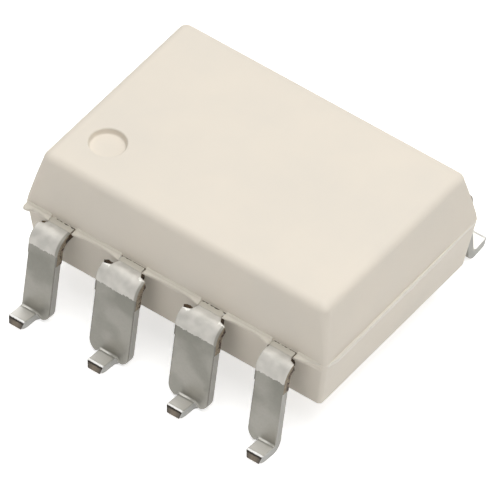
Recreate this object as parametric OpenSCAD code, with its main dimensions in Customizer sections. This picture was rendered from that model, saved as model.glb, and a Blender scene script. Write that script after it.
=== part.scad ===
// White moulded gull-wing optocoupler, two channels, eight leads.
//
// Millimetres, +Z up. The feet's heels stand on z = 0 and the origin is on the board, under the
// middle of the body. Leads 1 to 4 run along -Y from -X to +X, leads 5 to 8 run back along +Y.
// Each lead is one strip of sheet, from its pad or bonding tip inside the body to its foot.

/* [Body] */
// Length of the body at the parting line, along the rows of leads
body_length = 9.58; // [9.2:0.01:10.2]
// Width of the body at the parting line
body_width = 6.76; // [6.4:0.01:7]
// Height of the underside above the board
standoff = 1.09; // [0.6:0.01:1.6]
// Depth of the body below the parting line
lower_depth = 1.71; // [1.2:0.01:2.2]
// Height of the body above the parting line
upper_height = 1.74; // [1.4:0.01:2.2]
// Draft of the two ends above the parting line, in degrees
upper_end_draft = 9.5; // [5:0.1:14]
// Draft of the two long sides above the parting line, in degrees
upper_side_draft = 9.9; // [4:0.1:12]
// Draft of the two ends below the parting line, in degrees
lower_end_draft = 7.4; // [3:0.1:10]
// Draft of the two long sides below the parting line, in degrees
lower_side_draft = 6.4; // [3:0.1:10]
// Radius of the rounded edges around the top
top_edge_radius = 0.29; // [0.1:0.01:0.4]
// Radius of the upright corners at the parting line and below it
corner_radius = 0.1; // [0.05:0.01:0.4]

/* [Pin 1 mark] */
// Diameter of the round recess by lead 1
mark_diameter = 1.04; // [0.6:0.01:1.4]
// Depth of the recess
mark_depth = 0.18; // [0.05:0.01:0.25]
// Distance of the recess's centre from the end of the body
mark_from_end = 1.4; // [1.2:0.01:2]
// Distance of the recess's centre from the side of the body
mark_from_side = 1.63; // [1.2:0.01:2.5]

/* [Flash] */
// How far the resin between the leads stands out of the body's sides
side_flash = 0.22; // [0.1:0.01:0.36]
// How far the side flash stops short of the body's end by leads 1 and 8
side_flash_inset = 0.04; // [0.02:0.01:0.3]
// How far it stops short of the body's end by leads 4 and 5
side_flash_far_inset = 0.5; // [0.02:0.01:0.7]
// How far the thin flash stands out of the body's ends
end_flash = 0.08; // [0.04:0.01:0.2]
// Thickness of the flash at the ends
end_flash_thickness = 0.06; // [0.03:0.01:0.12]

/* [Leads] */
// Distance between neighbouring leads
pitch = 2.54; // [2.4:0.01:2.6]
// Thickness of the sheet
lead_thickness = 0.25; // [0.2:0.01:0.3]
// How far the outer faces of the uprights stand out of the body, at the height of the necks
upright_reach = 0.72; // [0.7:0.01:0.95]
// How far the tips of the feet stand out past those faces
foot_reach = 0.92; // [0.8:0.01:1.2]
// Width of the neck that leaves the body
neck_width = 0.72; // [0.5:0.01:0.9]
// How far the neck of an end lead sits inward of the foot's middle
end_neck_offset = 0.285; // [0.2:0.01:0.35]
// Width of the shoulder of the middle leads
shoulder_width = 1.27; // [1:0.01:1.4]
// Distance from the body's side to the start of the shoulder
shoulder_start = 0.41; // [0.38:0.01:0.6]
// Radius of the shoulder's upper corners
upper_corner_radius = 0.1; // [0.04:0.01:0.14]
// Radius of the shoulder's lower corners
lower_corner_radius = 0.36; // [0.2:0.01:0.38]
// Height of the shoulder's lower edge above the board
shoulder_clearance = 0.05; // [0.02:0.01:0.15]
// Width of the foot
foot_width = 0.51; // [0.4:0.01:0.56]
// Inner radius of the bend between neck and upright
upper_bend_radius = 0.22; // [0.1:0.01:0.3]
// Inner radius of the bend between upright and foot
foot_bend_radius = 0.06; // [0.04:0.01:0.15]
// Outward lean of the upright, in degrees
lean = 6.5; // [2:0.1:10]
// Upward tilt of the foot towards its tip, in degrees
foot_tilt = 7.5; // [0:0.1:10]
// Slant of the foot's sheared end from square, in degrees
shear_slant = 8; // [0:0.1:25]

/* [Inside] */
// Width of the gap between the LED pads and the detector pads
isolation_gap = 0.6; // [0.4:0.01:0.8]
// Size of a pad along the rows of leads
pad_width = 1.3; // [1.1:0.01:1.4]
// Size of a pad across the body
pad_length = 1.2; // [1:0.01:1.4]
// How far the middle of a pad sits outward of its lead
pad_offset = 0.48; // [0.3:0.01:0.6]
// Gap between a pad and the bonding tip beside it
tip_gap = 0.25; // [0.2:0.01:0.35]
// Size of a bonding tip across the body
tip_length = 0.9; // [0.6:0.01:1]
// Side of a square LED die
led_side = 0.32; // [0.25:0.01:0.4]
// Height of an LED die
led_height = 0.22; // [0.15:0.01:0.3]
// Side of a square detector die
detector_side = 0.76; // [0.5:0.01:0.9]
// Height of a detector die
detector_height = 0.25; // [0.15:0.01:0.35]
// Thickness of the adhesive under a die
attach_thickness = 0.03; // [0.02:0.01:0.05]
// How far the adhesive stands out around a die
attach_margin = 0.04; // [0.02:0.01:0.08]
// Diameter of the bond wires
wire_diameter = 0.03; // [0.025:0.005:0.05]
// Height of a wire's loop above the line between its ends
wire_loop = 0.32; // [0.2:0.01:0.4]
// Diameter of the ball where a wire meets its die
ball_diameter = 0.09; // [0.07:0.01:0.12]
// Thickness of that flattened ball
ball_height = 0.03; // [0.02:0.01:0.05]
// Diameter of a light guide where it sits on the leads
guide_diameter = 2.8; // [2.7:0.01:3.2]
// Height of a light guide above the leads
guide_height = 1; // [0.9:0.01:1.1]

/* [Hidden] */

// Circles and cylinders
$fn = 64;
// Facets of the rounded corners that a hull wraps
hull_fn = 32;
// Flats along the inside and the outside of the foot's small bend
inner_flats = 6;
outer_flats = 12;
// How far the foot's strip runs up inside the upright
root_length = 0.2;
// Thickness of the flat slices that a hull wraps
slice = 0.01;
// How far a cutting shape runs past what it cuts
past = 1;

parting_z = standoff + lower_depth;
top_z = parting_z + upper_height;
half_length = body_length / 2;
half_width = body_width / 2;

// Middle and end leads, measured from the middle of the body
middle_lead_x = pitch / 2;
end_lead_x = 3 * pitch / 2;
die_x = middle_lead_x + pad_offset;
die_y = (isolation_gap + pad_length) / 2;
pad_outer_x = die_x + pad_width / 2;
end_neck_x = end_lead_x - end_neck_offset;
tip_inner_x = pad_outer_x + tip_gap;
tip_outer_x = end_neck_x + neck_width / 2;
shoulder_y = half_width + shoulder_start;
upright_y = half_width + upright_reach;
tip_y = upright_y + foot_reach;

// Profile of a lead: points are [distance from the middle of the body, height]
upper_bend_outer = upper_bend_radius + lead_thickness;
foot_bend_outer = foot_bend_radius + lead_thickness;
bend_start = upright_y - upper_bend_outer * tan((90 - lean) / 2);
upper_centre = [bend_start, parting_z - upper_bend_outer];
upright_top = upper_centre + polar(upper_bend_outer, lean);
upright_drop = upright_top[1] + foot_bend_radius * sin(lean) - foot_bend_outer;
upright_length = upright_drop / cos(lean);
down = [sin(lean), -cos(lean)];
upright_end = upright_top + upright_length * down;
foot_centre = upright_end + polar(foot_bend_radius, lean);
foot_angle = 270 + foot_tilt;
along_foot = [cos(foot_tilt), sin(foot_tilt)];
heel = foot_centre + polar(foot_bend_outer, foot_angle);
foot_length = (tip_y - heel[0]) / cos(foot_tilt);
// Where the straight tabs beside the foot end, past the board so that the outline trims them
tab_length = upright_length + past;

function polar(r, a) = [r * cos(a), r * sin(a)];
// Half of the body's length and width at a height, from the draft of its faces
function upper_half(half, draft, z) = half - (z - parting_z) * tan(draft);
function lower_half(half, draft, z) = half - (parting_z - z) * tan(draft);

// ---- Body ----

// A thin slice of the body with rounded upright corners
module slice_at(half_x, half_y, z) {
    translate([0, 0, z])
        for (sx = [-1, 1], sy = [-1, 1])
            translate([sx * (half_x - corner_radius), sy * (half_y - corner_radius), 0])
                cylinder(r = corner_radius, h = slice, $fn = hull_fn);
}

// The drafted upper half, with a rounded edge around its top
module upper_half_shell() {
    ball_z = top_z - top_edge_radius;
    ball_x = upper_half(half_length, upper_end_draft, ball_z) - top_edge_radius / cos(upper_end_draft);
    ball_y = upper_half(half_width, upper_side_draft, ball_z) - top_edge_radius / cos(upper_side_draft);
    hull() {
        slice_at(half_length, half_width, parting_z);
        for (sx = [-1, 1], sy = [-1, 1])
            translate([sx * ball_x, sy * ball_y, ball_z])
                sphere(r = top_edge_radius, $fn = hull_fn);
        translate([-ball_x, -ball_y, top_z - slice])
            cube([2 * ball_x, 2 * ball_y, slice]);
    }
}

// The drafted lower half
module lower_half_shell() {
    hull() {
        slice_at(half_length, half_width, parting_z - slice);
        slice_at(
            lower_half(half_length, lower_end_draft, standoff),
            lower_half(half_width, lower_side_draft, standoff),
            standoff
        );
    }
}

// Resin that filled the space between the leads, as thick as they are
module side_flash_strips() {
    reach = half_width + side_flash;
    strip_length = body_length - side_flash_inset - side_flash_far_inset;
    translate([side_flash_inset - half_length, -reach, parting_z - lead_thickness])
        cube([strip_length, 2 * reach, lead_thickness]);
}

// Thin flash around the two ends
module end_flash_strips() {
    reach = half_length + end_flash;
    strip_width = 2 * (half_width - corner_radius);
    translate([-reach, -strip_width / 2, parting_z - end_flash_thickness])
        cube([2 * reach, strip_width, end_flash_thickness]);
}

module pin_1_mark() {
    translate([mark_from_end - half_length, mark_from_side - half_width, top_z - mark_depth])
        cylinder(d = mark_diameter, h = past);
}

module body() {
    color("ivory")
        difference() {
            union() {
                upper_half_shell();
                lower_half_shell();
                side_flash_strips();
                end_flash_strips();
            }
            pin_1_mark();
            at_all_corners() {
                middle_lead_blank();
                end_lead_blank();
            }
            for (channel = [-1, 1]) {
                channel_parts(channel);
                light_guide_dome(channel);
            }
        }
}

// ---- Leads ----

// The quarter at +X and +Y, and its mirror images
module at_corner(sx, sy) {
    scale_x = sx < 0 ? 1 : 0;
    scale_y = sy < 0 ? 1 : 0;
    mirror([scale_x, 0, 0])
        mirror([0, scale_y, 0])
            children();
}

module at_all_corners() {
    for (sx = [-1, 1], sy = [-1, 1])
        at_corner(sx, sy)
            children();
}

// A profile of [distance, height] points as a solid between two places along X
module strip(x_low, x_high) {
    translate([x_low, 0, 0])
        rotate([90, 0, 90])
            linear_extrude(x_high - x_low)
                children();
}

// A sector of a bend, under 90 degrees wide
module bend(centre, inner, outer, from, to) {
    reach = 2 * outer;
    translate(centre)
        intersection() {
            difference() {
                circle(r = outer);
                circle(r = inner);
            }
            polygon([[0, 0], polar(reach, from), polar(reach, (from + to) / 2), polar(reach, to)]);
        }
}

// The neck's outer stretch, the upper bend and the upright, with straight tabs beside the foot
module upright_profile() {
    bend_in = upper_centre + polar(upper_bend_radius, lean);
    translate([half_width, parting_z - lead_thickness])
        square([bend_start - half_width, lead_thickness]);
    bend(upper_centre, upper_bend_radius, upper_bend_outer, lean, 90);
    polygon([
        upright_top,
        upright_top + tab_length * down,
        bend_in + tab_length * down,
        bend_in
    ]);
}

// Points along a bend, in flats
function arc_points(centre, radius, from, to, flats) =
    [for (i = [0:flats]) centre + polar(radius, from + (to - from) * i / flats)];

// The foot's root in the upright, the lower bend, and the foot, which ends in a slanted shear
module foot_profile() {
    start_angle = 180 + lean;
    inner = arc_points(foot_centre, foot_bend_radius, start_angle, foot_angle, inner_flats);
    outer = arc_points(foot_centre, foot_bend_outer, foot_angle, start_angle, outer_flats);
    top = foot_centre + polar(foot_bend_radius, foot_angle);
    top_length = foot_length - lead_thickness * tan(shear_slant);
    ends = [top + top_length * along_foot, heel + foot_length * along_foot];
    root = [outer[outer_flats] - root_length * down, upright_end - root_length * down];
    polygon(concat(inner, ends, outer, root));
}

// The blank seen from above: the neck, and the shoulder from where it starts
module plan_outline(neck_low, neck_high, shoulder_low, shoulder_high) {
    translate([neck_low, half_width])
        square([neck_high - neck_low, tip_y - half_width]);
    translate([shoulder_low, shoulder_y + upper_corner_radius])
        square([shoulder_high - shoulder_low, tip_y - shoulder_y - upper_corner_radius]);
    translate([shoulder_low + upper_corner_radius, shoulder_y])
        square([shoulder_high - shoulder_low - 2 * upper_corner_radius, tip_y - shoulder_y]);
    for (x = [shoulder_low + upper_corner_radius, shoulder_high - upper_corner_radius])
        translate([x, shoulder_y + upper_corner_radius])
            circle(r = upper_corner_radius);
}

// The blank seen from the front: the shoulder, with its lower corners rounded
module front_outline(shoulder_low, shoulder_high, high_corner_rounded) {
    r = lower_corner_radius;
    bottom = shoulder_clearance;
    square_high = high_corner_rounded ? shoulder_high - r : shoulder_high;
    translate([shoulder_low, bottom + r])
        square([shoulder_high - shoulder_low, top_z]);
    translate([shoulder_low + r, bottom])
        square([square_high - shoulder_low - r, top_z]);
    translate([shoulder_low + r, bottom + r])
        circle(r = r);
    if (high_corner_rounded)
        translate([shoulder_high - r, bottom + r])
            circle(r = r);
}

// A whole bent strip in the quarter at +X and +Y, from the body's side to the foot's tip
module bent_strip(foot_x, neck_x, shoulder_low, shoulder_high, high_corner_rounded) {
    foot_low = foot_x - foot_width / 2;
    foot_high = foot_x + foot_width / 2;
    difference() {
        intersection() {
            strip(shoulder_low, shoulder_high)
                upright_profile();
            linear_extrude(top_z)
                plan_outline(
                    neck_x - neck_width / 2, neck_x + neck_width / 2, shoulder_low, shoulder_high
                );
            rotate([90, 0, 0])
                mirror([0, 0, 1])
                    linear_extrude(tip_y)
                        front_outline(shoulder_low, shoulder_high, high_corner_rounded);
        }
        // the strip between the tabs is bent out as the foot
        below_bend(foot_low, foot_high);
    }
    strip(foot_low, foot_high)
        foot_profile();
}

// Everything below the line where the foot's bend starts, across the foot's width
module below_bend(foot_low, foot_high) {
    strip(foot_low, foot_high)
        polygon([
            foot_centre,
            foot_centre + polar(past, 180 + lean),
            foot_centre + polar(past, 180 + lean) + past * down,
            foot_centre + past * down
        ]);
}

// A flat stretch of the lead frame inside the body
module frame_plate(x_low, x_high, y_low, y_high) {
    translate([x_low, y_low, parting_z - lead_thickness])
        cube([x_high - x_low, y_high - y_low, lead_thickness]);
}

module middle_lead_blank() {
    bent_strip(
        middle_lead_x,
        middle_lead_x,
        middle_lead_x - shoulder_width / 2,
        middle_lead_x + shoulder_width / 2,
        true
    );
    frame_plate(
        middle_lead_x - neck_width / 2, middle_lead_x + neck_width / 2, isolation_gap / 2, bend_start
    );
    frame_plate(die_x - pad_width / 2, pad_outer_x, isolation_gap / 2, isolation_gap / 2 + pad_length);
}

module end_lead_blank() {
    bent_strip(
        end_lead_x,
        end_neck_x,
        end_lead_x - shoulder_width / 2,
        end_lead_x + foot_width / 2,
        false
    );
    frame_plate(end_neck_x - neck_width / 2, tip_outer_x, die_y - tip_length / 2, bend_start);
    frame_plate(tip_inner_x, tip_outer_x, die_y - tip_length / 2, die_y + tip_length / 2);
}

module lead(number) {
    sy = number <= 4 ? -1 : 1;
    sx = (number >= 3 && number <= 6) ? 1 : -1;
    is_end = number == 1 || number == 4 || number == 5 || number == 8;
    color("silver")
        at_corner(sx, sy) {
            if (is_end)
                end_lead_blank();
            else
                middle_lead_blank();
        }
}

// ---- Inside ----
// channel is -1 for leads 1, 2, 7 and 8, and 1 for leads 3 to 6

module block_on_pad(channel, side_of_body, side, base_z, height) {
    translate([channel * die_x - side / 2, side_of_body * die_y - side / 2, base_z])
        cube([side, side, height]);
}

module die(channel, side_of_body, side, height) {
    block_on_pad(channel, side_of_body, side, parting_z + attach_thickness, height);
}

module attach(channel, side_of_body, side) {
    block_on_pad(channel, side_of_body, side + 2 * attach_margin, parting_z, attach_thickness);
}

// An arc of wire from the top of a die to the bonding tip beside it
module wire(channel, side_of_body, side, height) {
    die_top = parting_z + attach_thickness + height;
    start = [die_x, die_top];
    end = [(tip_inner_x + tip_outer_x) / 2, parting_z];
    chord = norm(end - start);
    slope = atan2(end[1] - start[1], end[0] - start[0]);
    radius = (chord * chord / 4 + wire_loop * wire_loop) / (2 * wire_loop);
    half_angle = asin(chord / 2 / radius);
    // the arc runs a little into the die and the tip, and is trimmed to their faces
    spare = 3;
    middle = (start + end) / 2 + (wire_loop - radius) * polar(1, slope + 90);
    difference() {
        at_corner(channel, side_of_body)
            translate([middle[0], die_y, middle[1]])
                rotate([90, 0, 0])
                    rotate([0, 0, slope + 90 - half_angle - spare])
                        rotate_extrude(angle = 2 * (half_angle + spare))
                            translate([radius, 0])
                                circle(d = wire_diameter, $fn = 24);
        die(channel, side_of_body, side, height);
        attach(channel, side_of_body, side);
        translate([-half_length, -half_width, 0])
            cube([body_length, body_width, parting_z]);
    }
    ball(channel, side_of_body, die_top);
}

module ball(channel, side_of_body, z) {
    translate([channel * die_x, side_of_body * die_y, z])
        cylinder(d = ball_diameter, h = ball_height);
}

module led_die(channel) {
    color("slategray")
        die(channel, -1, led_side, led_height);
}

module detector_die(channel) {
    color("dimgray")
        die(channel, 1, detector_side, detector_height);
}

module led_attach(channel) {
    color("lightgray")
        attach(channel, -1, led_side);
}

module detector_attach(channel) {
    color("lightgray")
        attach(channel, 1, detector_side);
}

module led_wire(channel) {
    color("gold")
        wire(channel, -1, led_side, led_height);
}

module detector_wire(channel) {
    color("gold")
        wire(channel, 1, detector_side, detector_height);
}

module channel_parts(channel) {
    led_die(channel);
    led_attach(channel);
    led_wire(channel);
    detector_die(channel);
    detector_attach(channel);
    detector_wire(channel);
}

// A cap of a sphere that covers both dies of a channel
module light_guide_dome(channel) {
    rim = guide_diameter / 2;
    radius = (rim * rim + guide_height * guide_height) / (2 * guide_height);
    translate([channel * die_x, 0, parting_z])
        intersection() {
            translate([0, 0, guide_height - radius])
                sphere(r = radius);
            translate([-rim, -rim, 0])
                cube([2 * rim, 2 * rim, guide_height]);
        }
}

module light_guide(channel) {
    color("lightcyan", 0.5)
        difference() {
            light_guide_dome(channel);
            channel_parts(channel);
        }
}

body();
lead(1);  // lead_1
lead(2);  // lead_2
lead(3);  // lead_3
lead(4);  // lead_4
lead(5);  // lead_5
lead(6);  // lead_6
lead(7);  // lead_7
lead(8);  // lead_8
led_die(-1);  // led_die_1
led_die(1);  // led_die_2
detector_die(-1);  // detector_die_1
detector_die(1);  // detector_die_2
led_attach(-1);  // led_attach_1
led_attach(1);  // led_attach_2
detector_attach(-1);  // detector_attach_1
detector_attach(1);  // detector_attach_2
led_wire(-1);  // led_wire_1
led_wire(1);  // led_wire_2
detector_wire(-1);  // detector_wire_1
detector_wire(1);  // detector_wire_2
light_guide(-1);  // light_guide_1
light_guide(1);  // light_guide_2
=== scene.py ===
"""Looks of a white eight-lead gull-wing optocoupler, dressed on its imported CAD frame.

Lengths are in millimetres in the row frame, and become metres where a mesh or a lamp is made.
Each lead is made as it is on the real part: a flat stamped blank with rounded and sheared
edges, which is then bent along its profile. A point of the blank is (u, s, t): across the
lead, along its outer face from the middle of the body, and down into the sheet.
"""

import math
import bmesh
import bpy
from mathutils import Matrix, Vector, noise
from mathutils.geometry import delaunay_2d_cdt


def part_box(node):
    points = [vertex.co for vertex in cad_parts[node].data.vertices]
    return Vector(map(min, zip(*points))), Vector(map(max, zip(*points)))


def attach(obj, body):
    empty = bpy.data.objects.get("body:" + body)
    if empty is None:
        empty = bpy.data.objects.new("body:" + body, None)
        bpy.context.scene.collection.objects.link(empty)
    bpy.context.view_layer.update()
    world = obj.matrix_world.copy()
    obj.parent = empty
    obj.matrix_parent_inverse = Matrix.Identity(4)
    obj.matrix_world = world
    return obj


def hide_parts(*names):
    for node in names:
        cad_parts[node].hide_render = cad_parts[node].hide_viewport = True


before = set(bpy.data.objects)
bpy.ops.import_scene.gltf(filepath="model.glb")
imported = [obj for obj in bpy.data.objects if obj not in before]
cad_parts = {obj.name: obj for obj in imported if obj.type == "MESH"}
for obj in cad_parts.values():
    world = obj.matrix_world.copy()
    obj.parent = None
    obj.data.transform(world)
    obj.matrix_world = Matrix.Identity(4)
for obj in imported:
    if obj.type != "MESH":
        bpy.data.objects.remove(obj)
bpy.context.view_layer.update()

MM = 0.001


def box_mm(node):
    low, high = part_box(node)
    return low / MM, high / MM


# ---- Sizes of the moulded body ----

BODY_LOW, BODY_HIGH = box_mm("body")
LEAD_LOW, LEAD_HIGH = box_mm("lead_3")
TOP_Z = BODY_HIGH.z
BOTTOM_Z = BODY_LOW.z
PARTING_Z = LEAD_HIGH.z
END_FLASH = 0.08
SIDE_FLASH = 0.22
HALF_LENGTH = BODY_HIGH.x - END_FLASH
HALF_WIDTH = BODY_HIGH.y - SIDE_FLASH
UPPER_END_DRAFT = math.radians(9.5)
UPPER_SIDE_DRAFT = math.radians(9.9)
LOWER_END_DRAFT = math.radians(7.4)
LOWER_SIDE_DRAFT = math.radians(6.4)
TOP_EDGE_RADIUS = 0.29
BOTTOM_EDGE_RADIUS = 0.06
UPPER_CORNER_RADIUS = 0.1
LOWER_CORNER_RADIUS = 0.13
TOP_CORNER_RADIUS = 0.24
# Radius of the corners of the flat top, inside its rounded edge
FLAT_CORNER_RADIUS = 0.04
# Step in from the lower half to the upper one, and the height over which it is made
PARTING_STEP = 0.012
PARTING_STEP_HEIGHT = 0.004

# Pin 1 mark: a shallow round recess near the end of lead 1
MARK_CENTRE = Vector((-HALF_LENGTH + 1.4, -HALF_WIDTH + 1.63))
MARK_RADIUS = 0.5
MARK_DEPTH = 0.18
MARK_FILLET = 0.05
# How far the wall of the mark leans in on its way down
MARK_LEAN = 0.015

# Resin ledges between the leads: how far out they reach, and how much further beside a neck
LEDGE_REACH = 0.1
LEDGE_SWELL = 0.1
LEDGE_SWELL_WIDTH = 0.3
# Extra reach of the nub at the -X end, beside lead 1
NUB_REACH = 0.13
LEDGE_EDGE_RADIUS = 0.045
# How far a ledge goes back into the body, so that nothing shows behind it
LEDGE_ROOT = 0.15
# Depth over which a ledge runs back into the wall below it
LEDGE_BLEND = 0.3
# Fillet between a ledge and the wall above it
LEDGE_FILLET = 0.05

# Fins at the ends of the body, along the parting line
FLASH_THICKNESS = 0.09
FLASH_EDGE_RADIUS = 0.025
FLASH_ROOT = 0.1

# Films of resin on the necks
BLEED_REACH = 0.2
BLEED_HEIGHT = 0.012

# Depths below the parting line between which the painted shade in the notches lies
NOTCH_SHADE_TOP = 0.03
NOTCH_SHADE_BOTTOM = 0.17

# ---- Sizes of the leads ----

PITCH = 2.54
THICKNESS = 0.25
LEAN = math.radians(6.5)
FOOT_TILT = math.radians(7.5)
UPPER_BEND_RADIUS = 0.22
FOOT_BEND_RADIUS = 0.06
NECK_HALF = 0.36
SHOULDER_HALF = 0.635
FOOT_HALF = 0.255
LOWER_CORNER = 0.36
SHOULDER_CLEARANCE = 0.05
SHEAR_SLANT = math.radians(8)
TIP_Y = LEAD_HIGH.y if LEAD_HIGH.y > 0 else -LEAD_LOW.y
UPRIGHT_Y = HALF_WIDTH + 0.72
BURR_HEIGHT = 0.03
EDGE_ROUND = 0.028
BACK_EDGE_ROUND = 0.014
# Width of the web drawn out beside the foot, where the tabs run into it
WEB = 0.17

# Flat parts of the lead frame inside the body
PAD_HALF = 0.65
PAD_OFFSET = 0.48
PAD_START = 0.3
PAD_END = 1.5
TIP_START = 0.45
TIP_END = 1.35
TIP_INNER = 1.16
END_NECK_INNER = 0.645
END_NECK_OUTER = 0.075

# Stations along the blank of the corners of the notches, where a neck ends, widens and meets
# the edge of its shoulder. They differ on the two sides, as they do on the photo's leads.
LEFT_NECK_END, LEFT_FLARE, LEFT_SHOULDER = 3.605, 3.795, 3.855
RIGHT_NECK_END, RIGHT_FLARE, RIGHT_SHOULDER = 3.525, 3.705, 3.775
# The same for the end leads, whose outer side has no shoulder
END_INNER_NECK_END, END_INNER_SHOULDER = 3.645, 3.845
END_OUTER_NECK_END, END_OUTER_FLARE, END_OUTER_SHOULDER = 3.585, 3.685, 3.745
# The cut of the dam bar leaves the metal this far out past the shoulders' sides
LEFT_CUT_STEP = 0.03
RIGHT_CUT_STEP = 0.015
END_CUT_STEP = 0.025
FOOT_CUT_STEP = 0.02
# Length over which a side steps back below the cut
CUT_STEP_RUN = 0.02

# Stations between which the dents in the outer face fade in
DENTS_START = 3.5
DENTS_FULL = 3.9
# Depths of the dents on the whole face and in the stretch with the painted highlight, and that
# stretch's swelling
DENT_DEPTH = 0.004
RUB_DEPTH = 0.007
HIGHLIGHT_ZONE_SWELL = 0.008
# Share of its width that the foot's lower edge loses at the tip
TIP_NARROWING = 0.27

UPPER_OUTER = UPPER_BEND_RADIUS + THICKNESS
FOOT_OUTER = FOOT_BEND_RADIUS + THICKNESS
BEND_ANGLE = math.pi / 2 - LEAN
BEND_START = UPRIGHT_Y - UPPER_OUTER * math.tan(BEND_ANGLE / 2)
UPPER_CENTRE = Vector((BEND_START, PARTING_Z - UPPER_OUTER))


def polar(radius, angle):
    return Vector((radius * math.cos(angle), radius * math.sin(angle)))


# The bent lead seen from its side, as (distance from the body's middle, height), and the
# stations along the blank at which its bends start and end
UPRIGHT_TOP = UPPER_CENTRE + polar(UPPER_OUTER, LEAN)
DOWN = Vector((math.sin(LEAN), -math.cos(LEAN)))
OUT = polar(1, LEAN)
UPRIGHT_DROP = UPRIGHT_TOP.y + FOOT_BEND_RADIUS * math.sin(LEAN) - FOOT_OUTER
UPRIGHT_LENGTH = UPRIGHT_DROP / math.cos(LEAN)
FOOT_CENTRE = UPRIGHT_TOP + UPRIGHT_LENGTH * DOWN + polar(FOOT_BEND_RADIUS, LEAN)
ALONG_FOOT = polar(1, FOOT_TILT)
FOOT_MIDDLE = FOOT_BEND_RADIUS + THICKNESS / 2
HEEL = FOOT_CENTRE + polar(FOOT_OUTER, FOOT_TILT - math.pi / 2)
S_BEND_END = BEND_START + UPPER_OUTER * BEND_ANGLE
S_FOOT_BEND = S_BEND_END + UPRIGHT_LENGTH
FOOT_TURN = math.pi / 2 - LEAN + FOOT_TILT
S_FOOT = S_FOOT_BEND + FOOT_MIDDLE * FOOT_TURN
S_TIP = S_FOOT + (TIP_Y - HEEL.x) / math.cos(FOOT_TILT)
S_SHOULDER_END = S_BEND_END + (UPRIGHT_TOP.y - SHOULDER_CLEARANCE) / math.cos(LEAN)
# Height at which the dam bar's cut ends, and the stretch above it with the painted highlight ends
CUT_END_Z = 2.02
BRIGHT_END_Z = 2.36


def station_of_height(z):
    return S_BEND_END + (UPRIGHT_TOP.y - z) / math.cos(LEAN)


S_CUT_END = station_of_height(CUT_END_Z)
S_BELOW_CUT = S_CUT_END + CUT_STEP_RUN
S_BRIGHT_END = station_of_height(BRIGHT_END_Z)
# Where the meshes of the leads start to be divided, just outside the body
S_DIVIDED = 3.4
# Where the painted shade in the notches between the necks and the ledges of resin ends
S_NOTCH_END = HALF_WIDTH + 0.46
# Where the bright lips on the cut shoulders of the middle leads end
S_LEFT_LIP = 3.885
S_RIGHT_LIP = 3.8


# ---- Mesh helpers ----

def put_faces_in_order(bm):
    """Sorts the faces by their vertices, so that each run gives the same mesh.

    Some bmesh operators leave the faces in an order that varies from run to run.
    """
    bm.verts.index_update()
    in_order = sorted(bm.faces, key=lambda face: sorted(v.index for v in face.verts))
    for index, face in enumerate(in_order):
        face.index = index
    bm.faces.sort()


def make_piece(name, bm, materials, nodes=(), sharp=35):
    """A finished piece from a bmesh in millimetres, which rides on the part's only body."""
    bmesh.ops.remove_doubles(bm, verts=bm.verts, dist=1e-5)
    bmesh.ops.recalc_face_normals(bm, faces=bm.faces)
    bmesh.ops.scale(bm, vec=(MM, MM, MM), verts=bm.verts)
    put_faces_in_order(bm)
    mesh = bpy.data.meshes.new(name)
    bm.to_mesh(mesh)
    bm.free()
    mesh.shade_smooth()
    mesh.set_sharp_from_angle(angle=math.radians(sharp))
    for material in materials:
        mesh.materials.append(material)
    piece = bpy.data.objects.new(name, mesh)
    bpy.context.scene.collection.objects.link(piece)
    if nodes:
        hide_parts(*nodes)
    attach(piece, "root")
    return piece


def smoothstep(low, high, x):
    f = min(1, max(0, (x - low) / (high - low)))
    return f * f * (3 - 2 * f)


def rounded(corners, segments=6):
    """An outline with each corner, given as (x, y, radius), turned into an arc."""
    points = []
    count = len(corners)
    for i, (x, y, radius) in enumerate(corners):
        here = Vector((x, y))
        back = Vector(corners[i - 1][:2]) - here
        ahead = Vector(corners[(i + 1) % count][:2]) - here
        if radius <= 0:
            points.append(here)
            continue
        half = back.angle(ahead) / 2
        reach = radius / math.tan(half)
        inward = (back.normalized() + ahead.normalized()).normalized()
        middle = here + inward * radius / math.sin(half)
        start = here + back.normalized() * reach - middle
        end = here + ahead.normalized() * reach - middle
        turn = start.angle_signed(end)
        for k in range(segments + 1):
            points.append(middle + Matrix.Rotation(-turn * k / segments, 2) @ start)
    return points


def prism(outline, z_low, z_high, round_top=0.0, round_bottom=0.0, segments=3):
    """A plate with that outline, its upper and lower edges rounded."""
    bm = bmesh.new()
    bottom = [bm.verts.new((p[0], p[1], z_low)) for p in outline]
    top = [bm.verts.new((p[0], p[1], z_high)) for p in outline]
    bm.faces.new(top)
    bm.faces.new(list(reversed(bottom)))
    count = len(outline)
    for i in range(count):
        j = (i + 1) % count
        bm.faces.new((bottom[i], bottom[j], top[j], top[i]))
    bmesh.ops.recalc_face_normals(bm, faces=bm.faces)
    for radius, level in ((round_top, z_high), (round_bottom, z_low)):
        if radius > 0:
            rim = [e for e in bm.edges if all(abs(v.co.z - level) < 1e-6 for v in e.verts)]
            bmesh.ops.bevel(
                bm, geom=rim, offset=radius, segments=segments, profile=0.5, affect="EDGES"
            )
    return bm


def cut_at(bm, axis, places):
    """Cuts the mesh at planes across an axis, so that it can bend and ripple there."""
    normal = Vector((0, 0, 0))
    normal[axis] = 1
    for place in places:
        geometry = bm.verts[:] + bm.edges[:] + bm.faces[:]
        bmesh.ops.bisect_plane(
            bm, geom=geometry, dist=1e-6, plane_co=normal * place, plane_no=normal
        )


def steps(low, high, count):
    return [low + (high - low) * i / count for i in range(count + 1)]


# ---- Leads ----

def column_of(number):
    """The leads stand in four columns: leads 1 and 5 in column 0, and so on to leads 4 and 8."""
    return (number - 1) % 4


def column_x(column):
    """Place of a column on the row of leads 1 to 4, which turned half round is the other row."""
    return (column - 1.5) * PITCH


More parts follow.
